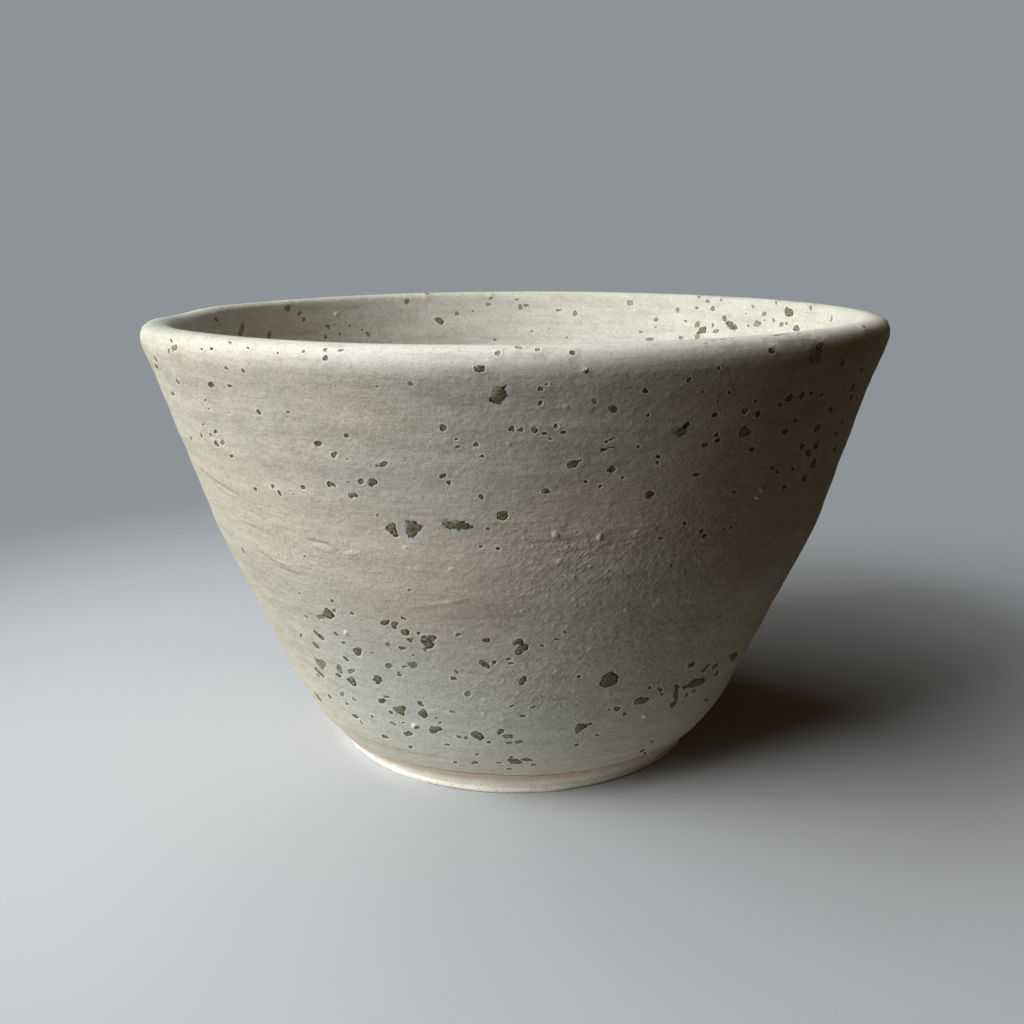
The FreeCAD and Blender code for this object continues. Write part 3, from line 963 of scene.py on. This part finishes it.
def make_coat(name, skin, own, back_rows, first_ring, last_ring, material, slot):
    """One glaze coat as a closed shell: its part of the skin, and a back face against the clay.

    first_ring and last_ring are the numbers of the skin's places along its two borders, and
    first_ring is None where the coat closes over the middle of the floor.
    """
    used = np.unique(skin.triangles[own])
    renumber = np.full(len(skin.points), -1)
    renumber[used] = np.arange(len(used))
    faces = renumber[skin.triangles[own]].tolist()
    skin_face_count = len(faces)
    points = [skin.points[used]]
    back_count = ring_count // 2
    bearing = np.arange(back_count) / back_count * TURN
    rows = []
    for s in back_rows:
        row_s = np.full(back_count, s)
        first = len(used) + len(rows) * back_count
        rows.append(list(range(first, first + back_count)))
        points.append(place(row_s + glaze_line_wander(row_s, bearing), bearing, np.zeros(back_count)))
    if first_ring is None:
        rows.insert(0, [rows[-1][-1] + 1])
        points.append(np.array([[0.0, 0.0, float(outline_z[0])]]))
    else:
        faces += turned_over(seam_faces(rows[0], renumber[first_ring].tolist()))
    faces += seam_faces(rows[-1], renumber[last_ring].tolist())
    faces += turned_over(shell_faces(rows))
    points = np.concatenate(points)
    mesh = new_mesh(name, points, faces)
    hidden = np.zeros(len(points) - len(used))
    for field, values in skin.fields.items():
        write_field(mesh, field, np.concatenate((values[used], hidden)))
    corner_normals = skin.normals[used]
    loop_normals = [tuple(corner_normals[i]) for face in faces[:skin_face_count] for i in face]
    loop_normals += [(0.0, 0.0, 0.0)] * sum(len(face) for face in faces[skin_face_count:])
    mesh.normals_split_custom_set(loop_normals)
    add_piece(name, mesh, material, slot)


# ---------------------------------------------------------------- the fired clay
clay_segments = 540
clay_row_steps = (
    (1.0, crest_s - 6.0, 3.5),
    (crest_s - 6.0, crest_s + 6.0, 0.8),
    (crest_s + 6.0, glaze_line_s - 12.0, 3.5),
    (glaze_line_s - 12.0, glaze_line_s - 2.0, 1.0),
    (glaze_line_s - 2.0, foot_s + 1.0, 0.33),
    (foot_s + 1.0, foot_s + 18.0, 0.6),
    (foot_s + 18.0, float(outline_s[-1]) - 0.5, 3.0),
)


def make_clay_body(material):
    """The thrown and trimmed body, whole: under the glaze, the bare foot and the recess beneath."""
    row_places = []
    for start, end, step in clay_row_steps:
        row_places += list(np.linspace(start, end, max(2, round((end - start) / step)), endpoint=False))
    bearing = np.arange(clay_segments) / clay_segments * TURN
    points = []
    rows = []
    for number, s in enumerate(row_places):
        points.append(place(np.full(clay_segments, s), bearing, np.zeros(clay_segments)))
        rows.append(list(range(number * clay_segments, (number + 1) * clay_segments)))
    points.append(np.array([[0.0, 0.0, float(outline_z[0])], [0.0, 0.0, float(outline_z[-1])]]))
    points = np.concatenate(points)
    points[:, 2] = np.maximum(points[:, 2], 0.0)
    rows = [[len(points) - 2]] + rows + [[len(points) - 1]]
    mesh = new_mesh("fired_clay_body", points, shell_faces(rows))
    add_piece("fired_clay_body", mesh, material, "clay_body")


# ---------------------------------------------------------------- the iron grains
grain_rings = ((0.0, 0.02), (0.3, 0.018), (0.55, 0.012), (0.72, 0.0), (0.84, -0.03))
grain_depth = 0.28
grain_roughness = 0.02
grain_segments = 24


def grain_solid(speck):
    """One melted grain as a closed lens that fills its hollow in the glaze."""
    points = []
    rows = []
    rings = list(grain_rings)
    for share, _ in reversed(grain_rings[:-1]):
        rings.append((share, -grain_depth * (1.0 - (share / grain_rings[-1][0]) ** 2) - 0.05))
    for share, height in rings:
        count = 1 if share == 0.0 else grain_segments
        s, bearing = around(speck, share, 0.0, count)
        rows.append(list(range(len(points), len(points) + count)))
        lift = glaze_lift(s, bearing) + height
        if height > -0.04:
            lift = lift + grain_roughness * ripple(plain_place(s, bearing), "grains")
        points += place(s + glaze_line_wander(s, bearing), bearing, lift).tolist()
    return points, turned_over(shell_faces(rows))


def make_iron_grains(material):
    points = []
    faces = []
    for speck in specks:
        if speck.kind in grain_kinds:
            grain_points, grain_faces = grain_solid(speck)
            first = len(points)
            points += grain_points
            faces += [tuple(first + i for i in face) for face in grain_faces]
    mesh = new_mesh("iron_grain_melts", np.array(points), faces)
    add_piece("iron_grain_melts", mesh, material, "iron_grains")


# ---------------------------------------------------------------- materials
def colour(red, green, blue):
    """A colour given as it looks on a screen, from 0 to 255."""
    screen = np.array([red, green, blue]) / 255.0
    linear = np.where(screen <= 0.04045, screen / 12.92, ((screen + 0.055) / 1.055) ** 2.4)
    return (*linear.tolist(), 1.0)


class Shader:
    """The node tree of a material or of the world, built by short calls."""

    def __init__(self, owner):
        owner.use_nodes = True
        self.owner = owner
        self.tree = owner.node_tree
        self.tree.nodes.clear()

    def node(self, kind, inputs=None, **settings):
        node = self.tree.nodes.new("ShaderNode" + kind)
        for name, value in settings.items():
            setattr(node, name, value)
        for name, value in (inputs or {}).items():
            if isinstance(value, bpy.types.NodeSocket):
                self.tree.links.new(value, node.inputs[name])
            else:
                node.inputs[name].default_value = value
        return node

    def value(self, kind, inputs=None, output=0, **settings):
        """One output of a new node."""
        return self.node(kind, inputs, **settings).outputs[output]

    def place(self):
        """The object's own coordinates."""
        return self.value("TexCoord", output="Object")

    def scaled(self, place, across, upright):
        """Coordinates in units of a length across and a length upright, in mm."""
        scale = (1 / (across * MM), 1 / (across * MM), 1 / (upright * MM))
        return self.value("Mapping", {"Vector": place, "Scale": scale})

    def noise(self, across, upright, detail=2.0, roughness=0.5, distortion=0.0, rise=0.0):
        """Noise with features of this length across and upright, in mm.

        With a rise, in degrees, they are drawn out along lines that rise to the right by it, as
        seen from the front.
        """
        place = self.place()
        if rise:
            place = self.value("Mapping", {"Vector": place, "Rotation": (0.0, math.radians(rise), 0.0)})
        inputs = {"Vector": self.scaled(place, across, upright), "Scale": 1.0}
        inputs |= {"Detail": detail, "Roughness": roughness, "Distortion": distortion}
        return self.value("TexNoise", inputs, "Fac")

    def crystals(self):
        return self.noise(0.5, 0.42, detail=3.0, roughness=0.6, distortion=1.2)

    def cells(self, across, upright):
        """Scattered points about this far apart, in mm: how far the nearest is, and its own number."""
        inputs = {"Vector": self.scaled(self.place(), across, upright), "Scale": 1.0, "Randomness": 1.0}
        outputs = self.node("TexVoronoi", inputs).outputs
        return outputs["Distance"], self.value("SeparateColor", {0: outputs["Color"]})

    def field(self, name):
        return self.value("Attribute", output="Fac", attribute_name=name)

    def climb(self, value, start, end, low=0.0, high=1.0):
        """From low where a value is at start to high where it is at end."""
        inputs = {"Value": value, "From Min": start, "From Max": end, "To Min": low, "To Max": high}
        return self.value("MapRange", inputs, "Result", interpolation_type="SMOOTHSTEP")

    def maths(self, operation, first, second):
        return self.value("Math", {0: first, 1: second}, operation=operation)

    def times(self, first, second):
        return self.maths("MULTIPLY", first, second)

    def plus(self, first, second):
        return self.maths("ADD", first, second)

    def mix(self, share, first, second):
        return self.value("Mix", {0: share, 6: first, 7: second}, 2, data_type="RGBA")

    def layered(self, base, layers):
        """A base colour under layers, each with how far it covers and its colour."""
        for share, tint in layers:
            base = self.mix(share, base, tint)
        return base

    def seen_directly(self):
        """1 for what the camera sees, also by reflection or through glass, and 0 for the light it sends."""
        rays = self.node("LightPath").outputs
        seen = self.maths("MAXIMUM", rays["Is Camera Ray"], rays["Is Glossy Ray"])
        return self.maths("MAXIMUM", seen, rays["Is Transmission Ray"])

    def output(self, surface, kind="Material"):
        self.node("Output" + kind, {"Surface": surface})

    def finish(self, base, roughness, height, ior, gloss):
        """The surface: its colour, its roughness, its fine relief in metres, and its reflection."""
        bump = self.value("Bump", {"Height": height, "Strength": 1.0, "Distance": 1.0})
        inputs = {"Base Color": base, "Roughness": roughness, "Normal": bump}
        inputs |= {"IOR": ior, "Specular IOR Level": gloss}
        self.output(self.value("BsdfPrincipled", inputs))
        return self.owner


# The glaze's lighter and darker base colours, outside and inside.
outer_colours = colour(209, 204, 189), colour(193, 190, 174)
liner_colours = colour(211, 210, 199), colour(198, 197, 184)
olive_vein = colour(46, 48, 30)
olive_dark = colour(91, 91, 66)
olive_light = colour(139, 139, 112)
# What lies over the glaze's base colours.
glaze_tints = {
    "cloud": colour(197, 198, 184), "thin": colour(213, 198, 180), "cool": colour(190, 197, 192),
    # The lip's tint is partly a painted highlight; the grey-blue tint after it is painted shade on the
    # lip's top at its left end.
    "lip": colour(230, 229, 219), "lip_top_shade": colour(164, 173, 168),
    "dark_streak": colour(174, 169, 150), "pale_streak": colour(219, 215, 201),
    # The next two lines: painted shade in hollows and painted highlights on ridges, of the fine bumps and
    # of the drawn-out strokes.
    "leather_painted_shade": colour(146, 139, 119), "leather_painted_highlight": colour(226, 222, 208),
    "drag_painted_highlight": colour(232, 228, 214), "drag_painted_shade": colour(126, 118, 100),
    "dark_grain": colour(155, 150, 132), "pale_grain": colour(224, 220, 206),
    # The last tint on the next line is painted shade in the creases.
    "pinhole": colour(118, 114, 96), "freckle": colour(140, 112, 86), "crease": colour(132, 116, 92),
    # The last tint on the next line is a painted shadow under the glaze's lower edge.
    "cold": colour(198, 199, 199), "halo": colour(232, 230, 218), "glaze_edge_shadow": colour(96, 76, 58),
}
# The bare clay: cream low down, partly a painted highlight on the foot's side; pinkish above, partly
# painted shade on the flare under the glaze's edge; and what lies over both.
cream_clay_and_highlight = colour(250, 248, 238)
pink_clay_and_shade = colour(203, 189, 173)
patchy_clay = colour(212, 196, 180)
turned_clay = colour(196, 184, 168)
grog = colour(152, 138, 120)


def iron_colour(shader, crystal, heart, strand):
    """Iron that has melted into the glaze: light olive crystals between dark veins, darker at its edge."""
    climb = shader.climb
    base = shader.mix(climb(crystal, 0.42, 0.58), olive_dark, olive_light)
    veins = (
        climb(crystal, 0.44, 0.36, 0.0, 0.85),
        climb(heart, 0.5, 0.0, 0.0, 0.35),
        shader.times(strand, 0.85),
    )
    return shader.layered(base, [(vein, olive_vein) for vein in veins])


def glaze_material(name, light, dark):
    """A matt oatmeal glaze: mottled, drawn out level by the throwing, grained and iron-specked, with
    painted shade and highlights.
    """
    shader = Shader(bpy.data.materials.new(name))
    field, climb, times = shader.field, shader.climb, shader.times
    mottle = shader.noise(6.5, 2.3, detail=4.0, roughness=0.55)
    cloud = shader.noise(22.0, 14.0)
    streak = shader.noise(15.0, 0.9, detail=3.0, roughness=0.6)
    leather = shader.noise(1.25, 0.95, detail=3.0, roughness=0.55)
    grain = shader.noise(0.4, 0.34, detail=3.0, roughness=0.7)
    drag = shader.noise(1.5, 0.5, rise=45.0)
    rough = field("rough")
    fibre = climb(shader.noise(0.3, 0.26, distortion=0.6), 0.3, 0.7, -1.0, 1.0)
    ragged = times(fibre, climb(field("cold"), 0.3, 1.0, 0.28, 0.45))
    speck = climb(shader.plus(field("speck"), ragged), 0.4, 0.6)
    cold = climb(shader.plus(field("cold"), times(fibre, 0.25)), 0.2, 0.8)
    cold = times(cold, climb(field("cold"), 0.0, 0.15))
    far, chosen = shader.cells(1.5, 1.3)
    pinhole = times(climb(far, 0.12, 0.06), climb(chosen, 0.80, 0.81))
    far, chosen = shader.cells(0.8, 0.7)
    freckle = times(climb(far, 0.24, 0.12), climb(chosen, 0.70, 0.71))
    knob_far, knob_chosen = shader.cells(1.7, 1.5)
    # How strongly painted shade and highlights follow the fine bumps and the drawn-out strokes.
    leather_light_share = climb(rough, 0.0, 1.0, 0.16, 0.26)
    drag_light_share = times(rough, 0.22)

    layers = {
        "cloud": climb(cloud, 0.4, 0.65, 0.0, 0.4),
        "thin": times(field("thin"), 0.6),
        "cool": times(field("cool"), 0.65),
        # the lip's pale band, partly a painted highlight
        "lip": times(field("lip"), 0.9),
        # painted shade on the lip's top at its left end
        "lip_top_shade": times(field("lip_top_shade"), 0.85),
        "dark_streak": climb(streak, 0.5, 0.7, 0.0, 0.34),
        "pale_streak": climb(streak, 0.46, 0.28, 0.0, 0.34),
        # painted shade in the hollows and painted highlights on the ridges of the fine bumps and strokes
        "leather_painted_shade": times(climb(leather, 0.5, 0.34), leather_light_share),
        "leather_painted_highlight": times(climb(leather, 0.52, 0.68), leather_light_share),
        "drag_painted_highlight": times(climb(drag, 0.54, 0.7), drag_light_share),
        "drag_painted_shade": times(climb(drag, 0.46, 0.32), drag_light_share),
        "dark_grain": climb(grain, 0.5, 0.7, 0.0, 0.4),
        "pale_grain": climb(grain, 0.5, 0.3, 0.0, 0.3),
        "pinhole": times(pinhole, 0.55),
        "freckle": times(freckle, climb(field("thin"), 0.4, 1.0, 0.0, 0.7)),
        # painted shade in the creases
        "crease": times(field("crease"), 0.4),
        "cold": times(cold, 0.6),
        "halo": times(field("halo"), 0.75),
        # painted shadow under the glaze's lower edge
        "glaze_edge_shadow": field("glaze_edge_shadow"),
    }
    base = shader.mix(climb(mottle, 0.35, 0.65), light, dark)
    base = shader.layered(base, [(share, glaze_tints[layer]) for layer, share in layers.items()])
    iron = iron_colour(shader, shader.crystals(), field("heart"), field("strand"))
    base = shader.mix(times(speck, field("cover")), base, iron)

    height = times(leather, climb(rough, 0.0, 1.0, 0.13 * MM, 0.24 * MM))
    height = times(height, climb(field("lip"), 0.0, 0.6, 1.0, 0.4))
    for bump, size in (
        (climb(drag, 0.5, 0.75), times(rough, climb(mottle, 0.4, 0.65, 0.02 * MM, 0.08 * MM))),
        (climb(knob_far, 0.3, 0.08), times(rough, climb(knob_chosen, 0.6, 0.61, 0.0, 0.09 * MM))),
        (streak, 0.045 * MM),
        (grain, 0.035 * MM),
        (pinhole, -0.04 * MM),
    ):
        height = shader.plus(height, times(bump, size))
    return shader.finish(base, climb(grain, 0.3, 0.7, 0.74, 0.9), height, 1.5, 0.08)


def clay_material():
    """Bare buff stoneware: cream low down, partly a painted highlight, pinkish above, partly painted shade,
    with fine grog.
    """
    shader = Shader(bpy.data.materials.new("bare_stoneware"))
    height_up = shader.value("SeparateXYZ", {0: shader.place()}, "Z")
    patch = shader.noise(6.0, 3.0, detail=3.0)
    grit = shader.noise(0.55, 0.5, detail=4.0, roughness=0.7)
    turning = shader.noise(12.0, 0.7)
    edge = shader.plus(height_up, shader.times(patch, 1.6 * MM))
    # Cream below, partly a painted highlight; pinkish from about 3 to 6 mm up, partly painted shade.
    base = shader.layered(cream_clay_and_highlight, (
        (shader.climb(edge, 2.8 * MM, 5.6 * MM), pink_clay_and_shade),
        (shader.climb(patch, 0.55, 0.8, 0.0, 0.35), patchy_clay),
        (shader.climb(turning, 0.5, 0.7, 0.0, 0.3), turned_clay),
        (shader.climb(grit, 0.56, 0.68, 0.0, 0.7), grog),
    ))
    height = shader.plus(shader.times(grit, 0.09 * MM), shader.times(turning, 0.05 * MM))
    return shader.finish(base, shader.climb(grit, 0.3, 0.7, 0.75, 0.9), height, 1.45, 0.1)


def grain_material():
    """Iron melted through the glaze: dark olive, satin and faintly crystalline."""
    shader = Shader(bpy.data.materials.new("melted_iron"))
    crystal = shader.crystals()
    base = iron_colour(shader, crystal, 1.0, 0.0)
    height = shader.times(crystal, 0.08 * MM)
    return shader.finish(base, shader.climb(crystal, 0.3, 0.7, 0.55, 0.75), height, 1.55, 0.12)


# ---------------------------------------------------------------- stage and light
floor_colour = colour(190, 194, 198)
backdrop_colour = colour(141, 147, 150)
floor_reach = 2.5
fade_start = 0.1
fade_end = 0.27
# The floor sends light back up at the bowl only from close by.
near_bounce = colour(212, 212, 207)
far_bounce = colour(57, 47, 30)
near_bounce_middle = (-0.012, 0.0, 0.0)
near_bounce_reach = 0.045
far_bounce_reach = 0.13
# Each lamp: its bearing and elevation in degrees, and its level.
lamps = {"key": (-63.0, 32.0, 1.56), "top": (-125.0, 60.0, 0.28)}
lamp_distance = 0.75
lamp_size = 0.6
fill_level = 0.03
fill_colour = colour(255, 212, 135)


def make_stage():
    """A pale floor that fades softly into the backdrop all round."""
    shader = Shader(bpy.data.materials.new("floor"))
    distance = shader.value("VectorMath", {0: shader.place()}, "Value", operation="LENGTH")
    ends = {0: shader.place(), 1: near_bounce_middle}
    from_middle = shader.value("VectorMath", ends, "Value", operation="DISTANCE")
    far = shader.climb(from_middle, near_bounce_reach, far_bounce_reach)
    bounce = shader.mix(far, near_bounce, far_bounce)
    base = shader.mix(shader.seen_directly(), bounce, floor_colour)
    surface = shader.value("BsdfDiffuse", {"Color": base})
    clear = shader.value("BsdfTransparent")
    fade = shader.climb(distance, fade_start, fade_end)
    shader.output(shader.value("MixShader", {0: fade, 1: surface, 2: clear}))
    corners = [(-1, -1), (1, -1), (1, 1), (-1, 1)]
    mesh = bpy.data.meshes.new("floor")
    mesh.from_pydata([(x * floor_reach, y * floor_reach, 0) for x, y in corners], [], [(0, 1, 2, 3)])
    mesh.materials.append(shader.owner)
    floor = add_object("floor", mesh)


def make_lamp(name, bearing, elevation, level):
    """A large soft lamp that looks at the bowl from a bearing and an elevation in degrees."""
    lamp = bpy.data.lights.new(name, "AREA")
    lamp.size = lamp_size
    lamp.energy = level * math.pi ** 2 * lamp_distance ** 2
    bearing, elevation = math.radians(bearing), math.radians(elevation)
    across = math.cos(elevation)
    way = Vector((math.sin(bearing) * across, -math.cos(bearing) * across, math.sin(elevation)))
    holder = add_object(name, lamp)
    holder.location = Vector((0.0, 0.0, rim_height * MM / 2)) + way * lamp_distance
    holder.rotation_euler = way.to_track_quat("Z", "Y").to_euler()


def make_lights():
    """The soft lamps, and a weak even fill."""
    for name, aim in lamps.items():
        make_lamp(name, *aim)
    world = bpy.data.worlds.new("world")
    bpy.context.scene.world = world
    shader = Shader(world)
    fill = shader.value("Background", {"Color": fill_colour, "Strength": fill_level})
    backdrop = shader.value("Background", {"Color": backdrop_colour})
    shader.output(shader.value("MixShader", {0: shader.seen_directly(), 1: fill, 2: backdrop}), "World")


# ---------------------------------------------------------------- the bowl
def even_rows(start, end, step):
    return np.linspace(start, end, round((end - start) / step))


def make_bowl():
    skin = make_skin()
    crest_ring = np.arange(ring_count)
    lower_ring = np.arange(ring_count, 2 * ring_count)
    make_coat(
        "liner_glaze_coat", skin, skin.is_liner, even_rows(2.0, crest_s, 3.0),
        None, crest_ring, glaze_material("liner_matt_glaze", *liner_colours), "liner_glaze",
    )
    make_coat(
        "outer_glaze_coat", skin, ~skin.is_liner, even_rows(crest_s, glaze_line_s - 0.2, 2.0),
        crest_ring, lower_ring, glaze_material("outer_matt_glaze", *outer_colours), "outer_glaze",
    )
    make_clay_body(clay_material())
    make_iron_grains(grain_material())


make_camera()
make_bowl()
make_stage()
make_lights()
bpy.context.scene.view_settings.view_transform = "Standard"
